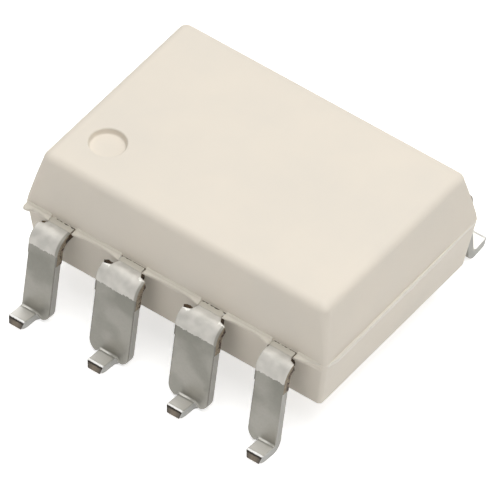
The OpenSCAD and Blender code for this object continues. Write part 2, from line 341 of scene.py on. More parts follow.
def neck_range(column):
    """Where the neck of a column's lead starts and ends along X, on the row of leads 1 to 4."""
    x = column_x(column)
    if column == 0:
        return x - END_NECK_OUTER, x + END_NECK_INNER
    if column == 3:
        return x - END_NECK_INNER, x + END_NECK_OUTER
    return x - NECK_HALF, x + NECK_HALF


def on_row(number, near, far):
    """Outline of a patch by a lead, from edges drawn as for leads 1 to 4 with Y outward."""
    turn = 1 if number > 4 else -1
    return [Vector((-turn * p.x, turn * p.y)) for p in near[::-1] + far]


def foot_outline():
    """The foot's corners as (u, s, radius), from its left side to its right one."""
    return [
        (-FOOT_HALF, S_SHOULDER_END, 0.03), (-FOOT_HALF, S_TIP, 0.015),
        (FOOT_HALF, S_TIP, 0.015), (FOOT_HALF, S_SHOULDER_END, 0.03),
    ]


def middle_outline(pad_side):
    """Outline of a middle lead, with the pad for its die inside the body.

    pad_side is the side to which the pad is drawn out: -1 in lead 2's column, 1 in lead 3's.
    """
    pad_low = pad_side * PAD_OFFSET - PAD_HALF
    pad_high = pad_side * PAD_OFFSET + PAD_HALF
    pad = [
        (pad_high, PAD_END, 0.03), (pad_high, PAD_START, 0.05),
        (pad_low, PAD_START, 0.05), (pad_low, PAD_END, 0.03),
    ]
    if pad_side < 0:
        pad = [(NECK_HALF, PAD_END, 0.03)] + pad
    else:
        pad = pad + [(-NECK_HALF, PAD_END, 0.03)]
    left, right = -SHOULDER_HALF - LEFT_CUT_STEP, SHOULDER_HALF + RIGHT_CUT_STEP
    low_side = [
        (-NECK_HALF, LEFT_NECK_END, 0.03), (-NECK_HALF - 0.07, LEFT_FLARE, 0.07),
        (left, LEFT_SHOULDER, 0.05), (left, S_CUT_END, 0), (-SHOULDER_HALF, S_BELOW_CUT, 0),
        (-SHOULDER_HALF, S_SHOULDER_END, LOWER_CORNER - 0.02),
    ]
    high_side = [
        (SHOULDER_HALF, S_SHOULDER_END, LOWER_CORNER - 0.02), (SHOULDER_HALF, S_BELOW_CUT, 0),
        (right, S_CUT_END, 0), (right, RIGHT_SHOULDER, 0.06),
        (NECK_HALF + 0.09, RIGHT_FLARE, 0.08), (NECK_HALF, RIGHT_NECK_END, 0.05),
    ]
    return rounded(pad + low_side + foot_outline() + high_side)


def end_outline(side):
    """Outline of an end lead. side is the way to the body's end: -1 for lead 1, 1 for lead 4."""
    inner, outer = -SHOULDER_HALF - END_CUT_STEP, FOOT_HALF + FOOT_CUT_STEP
    points = [
        (END_NECK_OUTER, TIP_START, 0.04), (-TIP_INNER, TIP_START, 0.04),
        (-TIP_INNER, TIP_END, 0.04), (-END_NECK_INNER, TIP_END, 0.03),
        (-END_NECK_INNER, END_INNER_NECK_END, 0.04),
        (inner, END_INNER_SHOULDER, 0.1), (inner, S_CUT_END, 0), (-SHOULDER_HALF, S_BELOW_CUT, 0),
        (-SHOULDER_HALF, S_SHOULDER_END, LOWER_CORNER - 0.02),
        *foot_outline()[:3],
        (FOOT_HALF, S_BELOW_CUT, 0), (outer, S_CUT_END, 0), (outer, END_OUTER_SHOULDER, 0.05),
        (END_NECK_OUTER + 0.05, END_OUTER_FLARE, 0.04), (END_NECK_OUTER, END_OUTER_NECK_END, 0.03),
    ]
    if side < 0:
        points = [(-u, s, r) for u, s, r in reversed(points)]
    return rounded(points)


def on_upright(s, t):
    return UPRIGHT_TOP + (s - S_BEND_END) * DOWN - t * OUT


def bent(u, s, t):
    """A blank's point on the bent lead, as (distance from the body's middle, height)."""
    if s <= BEND_START:
        return Vector((s, PARTING_Z - t))
    if s <= S_BEND_END:
        angle = math.pi / 2 - (s - BEND_START) / UPPER_OUTER
        return UPPER_CENTRE + polar(UPPER_OUTER - t, angle)
    if s <= S_FOOT_BEND:
        return on_upright(s, t)
    if s <= S_FOOT:
        angle = math.pi + LEAN + (s - S_FOOT_BEND) / FOOT_MIDDLE
        on_foot = FOOT_CENTRE + polar(FOOT_BEND_RADIUS + t, angle)
    else:
        underside = polar(1, FOOT_TILT - math.pi / 2)
        start = FOOT_CENTRE + (FOOT_BEND_RADIUS + t) * underside
        near_tip = smoothstep(S_FOOT + 0.1, S_TIP, s)
        shear = (1 - t / THICKNESS) * THICKNESS * math.tan(SHEAR_SLANT) * near_tip
        burr = BURR_HEIGHT * smoothstep(S_TIP - 0.09, S_TIP - 0.02, s) * (1 - t / THICKNESS) ** 2
        on_foot = start + (s - S_FOOT - shear) * ALONG_FOOT - burr * underside
    return on_foot.lerp(on_upright(s, t), smoothstep(FOOT_HALF, FOOT_HALF + WEB, abs(u)))


def ripple(point, size, seed):
    """A smooth random number from -1 to 1 at a point."""
    return noise.noise(Vector((point[0], point[1], seed)) / size)


def bend_lead(bm, seed):
    """Bends a flat blank into a lead that points away from the body along +Y."""
    for v in bm.verts:
        u, s, t = v.co.x, v.co.y, THICKNESS - v.co.z
        place = bent(u, s, t)
        outside = smoothstep(DENTS_START, DENTS_FULL, s)
        outside *= 1 - smoothstep(S_FOOT_BEND - 0.3, S_FOOT_BEND, s)
        # the stretch under the painted highlight swells and is dented more
        bend_highlight = outside * (1 - smoothstep(S_BRIGHT_END - 0.02, S_BRIGHT_END + 0.02, s))
        dents = outside * DENT_DEPTH * ripple((u, s), 0.5, seed)
        dents += bend_highlight * (RUB_DEPTH * ripple((u, s), 0.2, seed + 7) + HIGHLIGHT_ZONE_SWELL)
        before, after = bent(u, s - 0.01, 0), bent(u, s + 0.01, 0)
        across = (after - before).normalized()
        place += Vector((-across.y, across.x)) * dents * (1 - t / THICKNESS)
        # the shear leaves the foot's lower corners round
        narrowing = TIP_NARROWING * (t / THICKNESS) ** 3 * smoothstep(S_TIP - 0.15, S_TIP, s)
        v.co = Vector((u * (1 - narrowing), place.x, place.y))


def mark_faces(bm):
    """Material numbers on the flat blank: 0 plated, 1 the foot's bare sheared end, 2 its sides."""
    for face in bm.faces:
        middle = face.calc_center_median()
        if middle.y > S_TIP - 0.03 and face.normal.y > 0.75:
            face.material_index = 1
        elif abs(face.normal.z) < 0.5:
            face.material_index = 2


def keep_blank_place(bm, seed):
    """Stores where each point lies on the blank, and the same moved apart from the other leads.

    The metal's colours follow the first, and its random patterns the second.
    """
    blank = bm.verts.layers.float_vector.new("blank")
    grain = bm.verts.layers.float_vector.new("grain")
    for v in bm.verts:
        place = Vector((v.co.x, v.co.y, THICKNESS - v.co.z))
        v[blank] = place
        v[grain] = place + Vector((0, 0, seed))


def make_lead(number, materials):
    column = column_of(number)
    seed = 3.7 * number
    if column in (0, 3):
        outline = end_outline(-1 if column == 0 else 1)
    else:
        outline = middle_outline(-1 if column == 1 else 1)
    bm = prism(outline, 0, THICKNESS, EDGE_ROUND, BACK_EDGE_ROUND)
    cut_at(bm, 1, steps(S_DIVIDED, BEND_START, 5))
    cut_at(bm, 1, steps(BEND_START, S_BEND_END, 26)[1:])
    cut_at(bm, 1, steps(S_BEND_END, S_FOOT_BEND, 30)[1:])
    cut_at(bm, 1, steps(S_FOOT_BEND, S_FOOT, 12)[1:])
    cut_at(bm, 1, steps(S_FOOT, S_TIP - 0.1, 5)[1:] + steps(S_TIP - 0.1, S_TIP - 0.01, 6)[1:])
    cut_at(bm, 0, steps(-0.56, 0.56, 14))
    for side in (-1, 1):
        cut_at(bm, 0, [side * (FOOT_HALF + WEB * f) for f in (0.02, 0.2, 0.4, 0.6, 0.8, 1.0)])
    mark_faces(bm)
    keep_blank_place(bm, seed)
    bend_lead(bm, seed)
    # mirrored to point along -Y, as leads 1 to 4 do, and then turned half round for leads 5 to 8
    x = column_x(column)
    for v in bm.verts:
        v.co = Vector((x + v.co.x, -v.co.y, v.co.z))
    bmesh.ops.reverse_faces(bm, faces=bm.faces)
    if number > 4:
        bmesh.ops.transform(bm, matrix=Matrix.Rotation(math.pi, 4, "Z"), verts=bm.verts)
    return make_piece(f"lead_{number}_bent", bm, materials, [f"lead_{number}"])


# ---- Body ----

def ring(half_x, half_y, radius, z, corner_steps=10, side_steps=24):
    """A rounded rectangle as a closed loop of points at a height."""
    points = []
    signs = [(1, 1), (-1, 1), (-1, -1), (1, -1)]
    for quarter, (sx, sy) in enumerate(signs):
        centre = Vector((sx * (half_x - radius), sy * (half_y - radius)))
        for k in range(corner_steps + 1):
            p = centre + polar(radius, math.pi / 2 * (quarter + k / corner_steps))
            points.append(Vector((p.x, p.y, z)))
        tx, ty = signs[(quarter + 1) % 4]
        start = points[-1]
        after = Vector((tx * (half_x - radius), ty * (half_y - radius)))
        end = (after + polar(radius, math.pi / 2 * (quarter + 1))).to_3d()
        end.z = z
        for k in range(1, side_steps):
            points.append(start.lerp(end, k / side_steps))
    return points


def body_levels():
    """(half length, half width, corner radius, height) from the underside to the flat top."""
    levels = []
    depth = PARTING_Z - BOTTOM_Z
    low_x = HALF_LENGTH - depth * math.tan(LOWER_END_DRAFT)
    low_y = HALF_WIDTH - depth * math.tan(LOWER_SIDE_DRAFT)
    for k in range(7):
        a = math.pi / 2 * k / 6
        inset = BOTTOM_EDGE_RADIUS * (1 - math.sin(a))
        z = BOTTOM_Z + BOTTOM_EDGE_RADIUS * (1 - math.cos(a))
        rise = z - BOTTOM_Z
        levels.append((
            low_x - inset + rise * math.tan(LOWER_END_DRAFT),
            low_y - inset + rise * math.tan(LOWER_SIDE_DRAFT),
            LOWER_CORNER_RADIUS - inset * 0.5, z,
        ))
    for k in range(1, 7):
        f = k / 6
        z = levels[6][3] + (PARTING_Z - levels[6][3]) * f
        drop = PARTING_Z - z
        levels.append((
            HALF_LENGTH - drop * math.tan(LOWER_END_DRAFT),
            HALF_WIDTH - drop * math.tan(LOWER_SIDE_DRAFT),
            LOWER_CORNER_RADIUS, z,
        ))
    levels.append((
        HALF_LENGTH - PARTING_STEP, HALF_WIDTH - PARTING_STEP,
        UPPER_CORNER_RADIUS, PARTING_Z + PARTING_STEP_HEIGHT,
    ))
    edge_z = TOP_Z - TOP_EDGE_RADIUS
    for k in range(1, 9):
        z = PARTING_Z + (edge_z - PARTING_Z) * k / 8
        rise = z - PARTING_Z
        levels.append((
            HALF_LENGTH - rise * math.tan(UPPER_END_DRAFT),
            HALF_WIDTH - rise * math.tan(UPPER_SIDE_DRAFT),
            UPPER_CORNER_RADIUS + (TOP_CORNER_RADIUS - UPPER_CORNER_RADIUS) * (k / 8) ** 2, z,
        ))
    rise = edge_z - PARTING_Z
    centre_x = HALF_LENGTH - rise * math.tan(UPPER_END_DRAFT)
    centre_x -= TOP_EDGE_RADIUS / math.cos(UPPER_END_DRAFT)
    centre_y = HALF_WIDTH - rise * math.tan(UPPER_SIDE_DRAFT)
    centre_y -= TOP_EDGE_RADIUS / math.cos(UPPER_SIDE_DRAFT)
    for k in range(11):
        a = UPPER_SIDE_DRAFT + (math.pi / 2 - UPPER_SIDE_DRAFT) * k / 10
        out = TOP_EDGE_RADIUS * math.cos(a)
        levels.append((
            centre_x + out, centre_y + out,
            FLAT_CORNER_RADIUS + (TOP_CORNER_RADIUS - FLAT_CORNER_RADIUS) * out / TOP_EDGE_RADIUS,
            edge_z + TOP_EDGE_RADIUS * math.sin(a),
        ))
    return levels


def join_rings(bm, low, high):
    count = len(low)
    for i in range(count):
        j = (i + 1) % count
        bm.faces.new((low[i], low[j], high[j], high[i]))


def mark_rings():
    """(radius, depth) steps down the wall of the pin 1 mark."""
    rings = [(MARK_RADIUS + MARK_FILLET * 1.2, 0)]
    for k in range(1, 7):
        a = math.pi / 2 * k / 6
        rings.append((
            MARK_RADIUS + MARK_FILLET * (1 - math.sin(a)), MARK_FILLET * (1 - math.cos(a)),
        ))
    for k in range(1, 7):
        a = math.pi / 2 * k / 6
        rings.append((
            MARK_RADIUS - MARK_LEAN - MARK_FILLET * (1 - math.cos(a)),
            MARK_DEPTH - MARK_FILLET * (1 - math.sin(a)),
        ))
    return rings


def add_top(bm, rim):
    """The flat top between its rim and the pin 1 mark, and the mark's wall and floor."""
    segments = 96
    circles = []
    for radius, depth in mark_rings():
        circle = []
        for k in range(segments):
            p = MARK_CENTRE + polar(radius, 2 * math.pi * k / segments)
            circle.append(bm.verts.new((p.x, p.y, TOP_Z - depth)))
        circles.append(circle)
    for outer, inner in zip(circles, circles[1:]):
        join_rings(bm, outer, inner)
    bm.faces.new(circles[-1])
    flat = [v.co.xy for v in rim] + [v.co.xy for v in circles[0]]
    rim_edges = [(i, (i + 1) % len(rim)) for i in range(len(rim))]
    start = len(rim)
    hole_edges = [(start + i, start + (i + 1) % segments) for i in range(segments)]
    _, _, faces, sources, *_ = delaunay_2d_cdt(flat, rim_edges + hole_edges, [], 1, 1e-7)
    verts = rim + circles[0]
    for face in faces:
        # a face with all its corners on the circle lies over the mark
        if any(sources[i][0] < start for i in face):
            bm.faces.new([verts[sources[i][0]] for i in face])


def make_body(material):
    bm = bmesh.new()
    rings = []
    for half_x, half_y, radius, z in body_levels():
        rings.append([bm.verts.new(p) for p in ring(half_x, half_y, radius, z)])
    for low, high in zip(rings, rings[1:]):
        join_rings(bm, low, high)
    bm.faces.new(list(reversed(rings[0])))
    add_top(bm, rings[-1])
    return make_piece("body_shell", bm, [material], ["body"], sharp=28)


def ledge_front(x, low, high, end, seed):
    """How far out the resin ledge between two necks reaches at a place along it.

    end is -1 for the ledge at the -X end of the body, 1 for the one at the +X end, and else 0.
    """
    reach = LEDGE_REACH + 0.01 * ripple((x, 0), 0.4, seed)
    if end >= 0:
        reach += LEDGE_SWELL * math.exp(-(((x - low) / LEDGE_SWELL_WIDTH) ** 2))
    if end <= 0:
        reach += LEDGE_SWELL * math.exp(-(((x - high) / LEDGE_SWELL_WIDTH) ** 2))
    if end > 0:
        reach *= 1 - 0.9 * smoothstep(low + 0.2, high, x)
    if end < 0:
        from_end = x - low
        reach += NUB_REACH * (1 - smoothstep(0.1, 0.35, from_end))
        reach -= 0.1 * (1 - smoothstep(0, 0.08, from_end))
    return HALF_WIDTH + min(reach, SIDE_FLASH)


def make_ledges(materials):
    """Resin that filled the spaces between the leads, on both sides of the body.

    The first material is for its walls, and the second for its top.
    """
    left_end, right_end = -HALF_LENGTH + 0.04, HALF_LENGTH - LOWER_CORNER_RADIUS
    necks = [neck_range(column) for column in range(4)]
    gaps = [(left_end, necks[0][0])] + [(a[1], b[0]) for a, b in zip(necks, necks[1:])]
    gaps.append((necks[3][1], right_end))
    count = 40
    for row in (-1, 1):
        for index, (low, high) in enumerate(gaps):
            end = {0: -1, 4: 1}.get(index, 0)
            front = []
            for k in range(count + 1):
                x = low + 0.01 + (high - low - 0.02) * k / count
                front.append(Vector((x, ledge_front(x, low, high, end, 11 * index + 5 * row))))
            inside = HALF_WIDTH - LEDGE_ROOT
            outline = [Vector((front[-1].x, inside)), Vector((front[0].x, inside))] + front
            bm = prism(outline, PARTING_Z - LEDGE_BLEND, PARTING_Z, LEDGE_EDGE_RADIUS, segments=4)
            for face in bm.faces:
                face.material_index = 1 if face.normal.z > 0.3 else 0
            cut_at(bm, 0, steps(low, high, 16))
            cut_at(bm, 1, [HALF_WIDTH + LEDGE_FILLET * f for f in (0.05, 0.3, 0.6, 1.0)])
            levels = (0.18, 0.32, 0.46, 0.6, 0.75, 0.9)
            cut_at(bm, 2, [PARTING_Z - LEDGE_BLEND * f for f in levels])
            for v in bm.verts:
                # below its rim the ledge runs back into the drafted wall
                drop = PARTING_Z - v.co.z
                wall = HALF_WIDTH - drop * math.tan(LOWER_SIDE_DRAFT) - 0.004
                rim = 1 - smoothstep(0.04, LEDGE_BLEND, drop)
                if drop < 0.01:
                    v.co.z += LEDGE_FILLET * (1 - smoothstep(0, LEDGE_FILLET, v.co.y - HALF_WIDTH))
                if v.co.y > wall:
                    v.co.y = wall + (v.co.y - wall) * rim
                v.co.y *= row
            # where the ledge has run back into the wall, its lowest faces have no width left
            bmesh.ops.remove_doubles(bm, verts=bm.verts, dist=1e-5)
            bmesh.ops.dissolve_degenerate(bm, dist=1e-4, edges=bm.edges)
            side = "front" if row < 0 else "back"
            make_piece(f"ledge_{side}_{index + 1}", bm, materials, sharp=50)


def make_end_flash(materials):
    """The thin ragged fin along the parting line at each end of the body.

    The first material is for its top, and the second for its edge.
    """
    count = 90
    reach_y = HALF_WIDTH - LOWER_CORNER_RADIUS
    for sx in (-1, 1):
        outer, inner = [], []
        for k in range(count + 1):
            y = -reach_y + 2 * reach_y * k / count
            near = 1 - k / count
            width = 0.03 + 0.05 * near ** 0.5
            width += 0.02 * ripple((y, 0), 0.3, 31 + sx) + 0.014 * ripple((y, 0), 0.09, 47 + sx)
            width *= smoothstep(0, 0.06, k / count) * smoothstep(0, 0.3, near)
            outer.append(Vector((HALF_LENGTH + min(END_FLASH, max(0.004, width)), y)))
            inner.append(Vector((HALF_LENGTH - FLASH_ROOT, y)))
        outline = [Vector((sx * p.x, sx * p.y)) for p in inner[::-1] + outer]
        bm = prism(outline, PARTING_Z - FLASH_THICKNESS, PARTING_Z, FLASH_EDGE_RADIUS, 0.003)
        for face in bm.faces:
            face.material_index = 0 if face.normal.z > 0.7 else 1
        side = "left" if sx < 0 else "right"
        make_piece(f"end_flash_{side}", bm, materials)


def make_bleed(material):
    """The film of resin that bled over each neck beside the body."""
    for number in range(1, 9):
        low, high = neck_range(column_of(number))
        count = 24
        front, back = [], []
        for k in range(count + 1):
            at = low + 0.01 + (high - low - 0.02) * k / count
            edge = HALF_WIDTH + BLEED_REACH + 0.015 * ripple((at, 0), 0.2, 90 + number)
            front.append(Vector((at, edge)))
            gap = 0.022 + 0.04 * ripple((at, 0), 0.08, 70 + number)
            back.append(Vector((at, HALF_WIDTH + max(0, gap))))
        outline = on_row(number, back, front)
        bm = prism(outline, PARTING_Z - 0.002, PARTING_Z + BLEED_HEIGHT, 0.006, 0, segments=2)
        make_piece(f"resin_bleed_{number}", bm, [material])


def make_painted_notch_shade(material):
    """Painted shade: dark streaks that taper, put in the notches beside the necks.

    A streak is given by the range it covers across the lead and the one along it.
    """
    outer = (-END_NECK_OUTER - 0.15, -END_NECK_OUTER, 3.62, 3.7)
    inner = (END_NECK_INNER - 0.03, END_NECK_INNER + 0.04, 3.46, 3.64)
    left = (-NECK_HALF - 0.31, -NECK_HALF + 0.02, 3.7, 3.81)
    right = (NECK_HALF - 0.02, NECK_HALF + 0.12, 3.52, 3.75)
    places = {0: (outer, inner), 1: (left, right), 2: (left, right), 3: (outer, inner)}
    for number in range(1, 9):
        column = column_of(number)
        x = column_x(column)
        flip = -1 if column == 3 else 1
        for index, (low, high, start, end) in enumerate(places[column]):
            count = 10
            ahead, behind = [], []
            for k in range(count + 1):
                u = low + (high - low) * k / count
                taper = 0.2 + 0.8 * math.sin(math.pi * k / count)
                half = (end - start) / 2 * taper
                half += 0.02 * ripple((u, x), 0.05, 9 * number + index) * taper
                middle = (start + end) / 2 + 0.04 * ripple((u, x), 0.1, 7 * number + index)
                ahead.append(Vector((x + flip * u, middle + half)))
                behind.append(Vector((x + flip * u, middle - half)))
            outline = on_row(number, behind, ahead)
            bm = prism(outline, PARTING_Z - NOTCH_SHADE_BOTTOM, PARTING_Z - NOTCH_SHADE_TOP)
            make_piece(f"painted_notch_shade_{number}_{index + 1}", bm, [material])


# ---- Materials ----

def new_material(name):
    material = bpy.data.materials.new(name)
    material.use_nodes = True
    tree = material.node_tree
    shader = tree.nodes["Principled BSDF"]
    return material, tree, shader


def add_node(tree, kind, **inputs):
    node = tree.nodes.new(kind)
    for key, value in inputs.items():
        node.inputs[key].default_value = value
    return node


def position_mm(tree):
    """The point on the object in millimetres, for patterns at a real scale."""
    place = tree.nodes.new("ShaderNodeTexCoord")
    scale = tree.nodes.new("ShaderNodeVectorMath")
    scale.operation = "SCALE"
    scale.inputs["Scale"].default_value = 1 / MM
    tree.links.new(place.outputs["Object"], scale.inputs[0])
    return scale.outputs[0]


def noise_of(tree, vector, scale, detail=3.0, roughness=0.5):
    node = add_node(tree, "ShaderNodeTexNoise", Scale=scale, Detail=detail, Roughness=roughness)
    tree.links.new(vector, node.inputs["Vector"])
    return node.outputs["Fac"]


def map_range(tree, value, from_low, from_high, to_low, to_high):
    node = tree.nodes.new("ShaderNodeMapRange")
    for key, number in (
        ("From Min", from_low), ("From Max", from_high), ("To Min", to_low), ("To Max", to_high)
    ):
        node.inputs[key].default_value = number
    tree.links.new(value, node.inputs["Value"])
    return node.outputs["Result"]


def mix_colour(tree, factor, colour_a, colour_b):
    node = tree.nodes.new("ShaderNodeMix")
    node.data_type = "RGBA"
    for socket, colour in ((node.inputs[6], colour_a), (node.inputs[7], colour_b)):
        if isinstance(colour, tuple):
            socket.default_value = (*colour, 1)
        else:
            tree.links.new(colour, socket)
    tree.links.new(factor, node.inputs[0])
    return node.outputs[2]


def math_node(tree, operation, a, b):
    node = tree.nodes.new("ShaderNodeMath")
    node.operation = operation
    for socket, value in ((node.inputs[0], a), (node.inputs[1], b)):
        if isinstance(value, (int, float)):
            socket.default_value = value
        else:
            tree.links.new(value, socket)
    return node.outputs[0]


def fade_in(tree, value, low, high):
    return map_range(tree, value, low, high, 0.0, 1.0)


def fade_out(tree, value, low, high):
    return map_range(tree, value, low, high, 1.0, 0.0)


def times(tree, a, b):
    return math_node(tree, "MULTIPLY", a, b)


def shaken(tree, value, pattern, size):
    """The value moved up and down by a pattern, so that an edge which follows it is ragged."""
    offset = times(tree, math_node(tree, "SUBTRACT", pattern, 0.5), size)
    return math_node(tree, "ADD", value, offset)


def bump(tree, shader, height, strength, distance_mm):
    node = add_node(tree, "ShaderNodeBump", Strength=strength, Distance=distance_mm * MM)
    tree.links.new(height, node.inputs["Height"])
    tree.links.new(node.outputs["Normal"], shader.inputs["Normal"])


def resin(name, pale, dark, roughness=0.55):
    """Moulded epoxy: a matt eroded finish with faint clouds in its colour."""
    material, tree, shader = new_material(name)
    place = position_mm(tree)
    clouds = noise_of(tree, place, 0.55, 4.0)
    grain = noise_of(tree, place, 22.0, 3.0, 0.6)
    colour = mix_colour(tree, fade_in(tree, clouds, 0.3, 0.7), pale, dark)
    tree.links.new(colour, shader.inputs["Base Color"])
    rough = map_range(tree, grain, 0.3, 0.7, roughness - 0.06, roughness + 0.08)
    tree.links.new(rough, shader.inputs["Roughness"])
    shader.inputs["Specular IOR Level"].default_value = 0.35
    bump(tree, shader, grain, 0.25, 0.004)
    return material


# Tones of the leads: the tin on their faces
UPRIGHT_DARK, UPRIGHT_PALE = (0.165, 0.162, 0.14), (0.29, 0.28, 0.252)
# painted shade on the upright's round edges
UPRIGHT_EDGE_SHADE = (0.11, 0.105, 0.09)
# painted highlight round the upper bend
BEND_HIGHLIGHT_DULL, BEND_HIGHLIGHT_PALE = (0.44, 0.425, 0.39), (0.53, 0.51, 0.47)
# painted shade on the shoulder's rounded edge, inside the bend's painted highlight
SHOULDER_EDGE_SHADE = (0.24, 0.23, 0.20)
# the foot painted paler than the upright, with painted shade towards one side
FOOT_PALE, FOOT_SHADE = (0.85, 0.83, 0.785), (0.66, 0.64, 0.585)
# painted highlight on the foot's bend
FOOT_BEND_HIGHLIGHT = (0.50, 0.49, 0.45)
TIP_LIP = (0.78, 0.77, 0.74)
CUT_LIP = (0.68, 0.67, 0.63)
# painted shade in the crack by the body
CRACK_SHADE = (0.05, 0.04, 0.035)
# Their sheared sides
TORN_DARK, TORN_PALE = (0.20, 0.155, 0.105), (0.34, 0.29, 0.22)
TORN_SPOT = (0.035, 0.018, 0.012)
PLATED_SIDE, FOOT_SIDE = (0.45, 0.44, 0.41), (0.50, 0.495, 0.47)
# painted shade in the notches
NOTCH_SHADE = (0.03, 0.02, 0.014)
# Their sheared ends
LAND_DARK, LAND_PATCH = (0.07, 0.06, 0.05), (0.19, 0.155, 0.115)
# painted shadow under the lip of a cut end
END_LIP_SHADOW = (0.02, 0.014, 0.01)
END_LIP = (0.75, 0.74, 0.72)


def blank_place(tree):
    """Across, along and into the blank, and the vector for the lead's own random patterns."""
    blank, grain = (tree.nodes.new("ShaderNodeAttribute") for _ in range(2))
    blank.attribute_name = "blank"
    grain.attribute_name = "grain"
    split = tree.nodes.new("ShaderNodeSeparateXYZ")
    tree.links.new(blank.outputs["Vector"], split.inputs[0])
    return (*split.outputs, grain.outputs["Vector"])


def plating(name, cut_shoulders):
    """Matt tin, with a painted highlight round the upper bend, greyer down the upright."""
    material, tree, shader = new_material(name)
    across, along, _, vector = blank_place(tree)
    aside = math_node(tree, "ABSOLUTE", across, 0.0)
    coarse = noise_of(tree, vector, 2.2, 3.0)
    fine = noise_of(tree, vector, 14.0, 4.0, 0.6)
    edge = shaken(tree, along, fine, 0.2)
    # painted highlight: the upper bend and the top of the upright are painted pale, down to a
    # ragged edge
    bright = fade_out(tree, edge, S_BRIGHT_END - 0.012, S_BRIGHT_END + 0.012)
    smears = map_range(tree, noise_of(tree, vector, 1.1, 2.0, 0.4), 0.42, 0.58, -0.15, 0.25)
    height = map_range(tree, along, S_BEND_END, S_FOOT_BEND, 0.15, 0.75)
    tone = math_node(tree, "ADD", height, smears)
    upright = mix_colour(tree, tone, UPRIGHT_DARK, UPRIGHT_PALE)
    streaks = fade_in(tree, noise_of(tree, vector, 3.5, 2.0), 0.35, 0.65)
    bend_highlight = mix_colour(tree, streaks, BEND_HIGHLIGHT_DULL, BEND_HIGHLIGHT_PALE)
    colour = mix_colour(tree, bright, upright, bend_highlight)

    # painted shade on one rounded edge of the shoulder, where it runs through the bend's painted
    # highlight
    shoulder_edge_shade = fade_in(tree, across, SHOULDER_HALF - 0.085, SHOULDER_HALF - 0.045)
    colour = mix_colour(tree, times(tree, shoulder_edge_shade, bright), colour, SHOULDER_EDGE_SHADE)
    # painted shade on the round edges of the upright
    rim = map_range(tree, aside, SHOULDER_HALF - 0.045, SHOULDER_HALF - 0.015, 0.0, 0.7)
    below = math_node(tree, "SUBTRACT", 1.0, bright)
    colour = mix_colour(tree, times(tree, rim, below), colour, UPRIGHT_EDGE_SHADE)

    # painted light: the foot, which faces up, is painted paler than the upright, with painted
    # shade towards one side and a painted highlight over part of its bend
    foot_width = fade_out(tree, aside, FOOT_HALF - 0.04, FOOT_HALF + 0.04)
    foot = times(tree, fade_in(tree, along, S_FOOT - 0.02, S_FOOT + 0.06), foot_width)
    foot_across = fade_in(tree, across, -FOOT_HALF, FOOT_HALF)
    colour = mix_colour(tree, foot, colour, mix_colour(tree, foot_across, FOOT_PALE, FOOT_SHADE))
    bar = fade_in(tree, along, S_FOOT_BEND + 0.05, S_FOOT_BEND + 0.1)
    bar = times(tree, bar, fade_out(tree, along, S_FOOT - 0.06, S_FOOT))
    bar = times(tree, bar, fade_out(tree, across, 0.0, 0.14))
    colour = mix_colour(tree, times(tree, bar, foot_width), colour, FOOT_BEND_HIGHLIGHT)
    colour = mix_colour(tree, fade_in(tree, along, S_TIP - 0.08, S_TIP - 0.05), colour, TIP_LIP)

    if cut_shoulders:
        # bare bright lips where the dam bar was cut from the shoulders
        end = map_range(tree, across, -0.1, 0.1, S_LEFT_LIP, S_RIGHT_LIP)
        cut = fade_out(tree, math_node(tree, "SUBTRACT", edge, end), -0.01, 0.01)
        past_neck = fade_in(tree, aside, NECK_HALF + 0.06, NECK_HALF + 0.08)
        colour = mix_colour(tree, times(tree, cut, past_neck), colour, CUT_LIP)
    # painted shade in the crack where the neck leaves the body
    crack = fade_out(tree, along, HALF_WIDTH + 0.035, HALF_WIDTH + 0.045)
    colour = mix_colour(tree, crack, colour, CRACK_SHADE)
    tree.links.new(colour, shader.inputs["Base Color"])

    rough = map_range(tree, fine, 0.3, 0.7, 0.36, 0.5)
    rough = math_node(tree, "ADD", rough, times(tree, bright, 0.14))
    tree.links.new(rough, shader.inputs["Roughness"])
    matt = math_node(tree, "MAXIMUM", bright, foot)
    tree.links.new(map_range(tree, matt, 0.0, 1.0, 0.9, 0.6), shader.inputs["Metallic"])
    lumps = math_node(tree, "ADD", times(tree, coarse, 0.6), fine)
    bump(tree, shader, lumps, 0.5, 0.008)
    return material


def sheared_side():
    """The stamped sides: torn, coppery metal round the upper bend, and plated below it."""
    material, tree, shader = new_material("sheared_side")
    _, along, depth, vector = blank_place(tree)
    coarse = noise_of(tree, vector, 7.0, 4.0, 0.65)
    fine = noise_of(tree, vector, 24.0, 4.0, 0.6)
    torn = mix_colour(tree, fade_in(tree, fine, 0.35, 0.65), TORN_DARK, TORN_PALE)
    spots = times(tree, fade_in(tree, coarse, 0.48, 0.54), fade_in(tree, depth, 0.08, 0.16))
    torn = mix_colour(tree, spots, torn, TORN_SPOT)
    edge = shaken(tree, along, fine, 0.1)
    plated = fade_in(tree, edge, S_CUT_END - 0.02, S_CUT_END + 0.02)
    tin = mix_colour(tree, fade_in(tree, along, S_FOOT_BEND, S_FOOT), PLATED_SIDE, FOOT_SIDE)
    colour = mix_colour(tree, plated, torn, tin)
    # painted shade on the sides deep in the notches beside the necks
    notch = fade_out(tree, edge, S_NOTCH_END - 0.02, S_NOTCH_END + 0.02)
    notch = times(tree, notch, fade_in(tree, depth, 0.06, 0.12))
    colour = mix_colour(tree, notch, colour, NOTCH_SHADE)
    tree.links.new(colour, shader.inputs["Base Color"])
    shader.inputs["Metallic"].default_value = 0.2
    shader.inputs["Roughness"].default_value = 0.6
    shader.inputs["Specular IOR Level"].default_value = 0.3
    bump(tree, shader, fine, 0.4, 0.008)
    return material


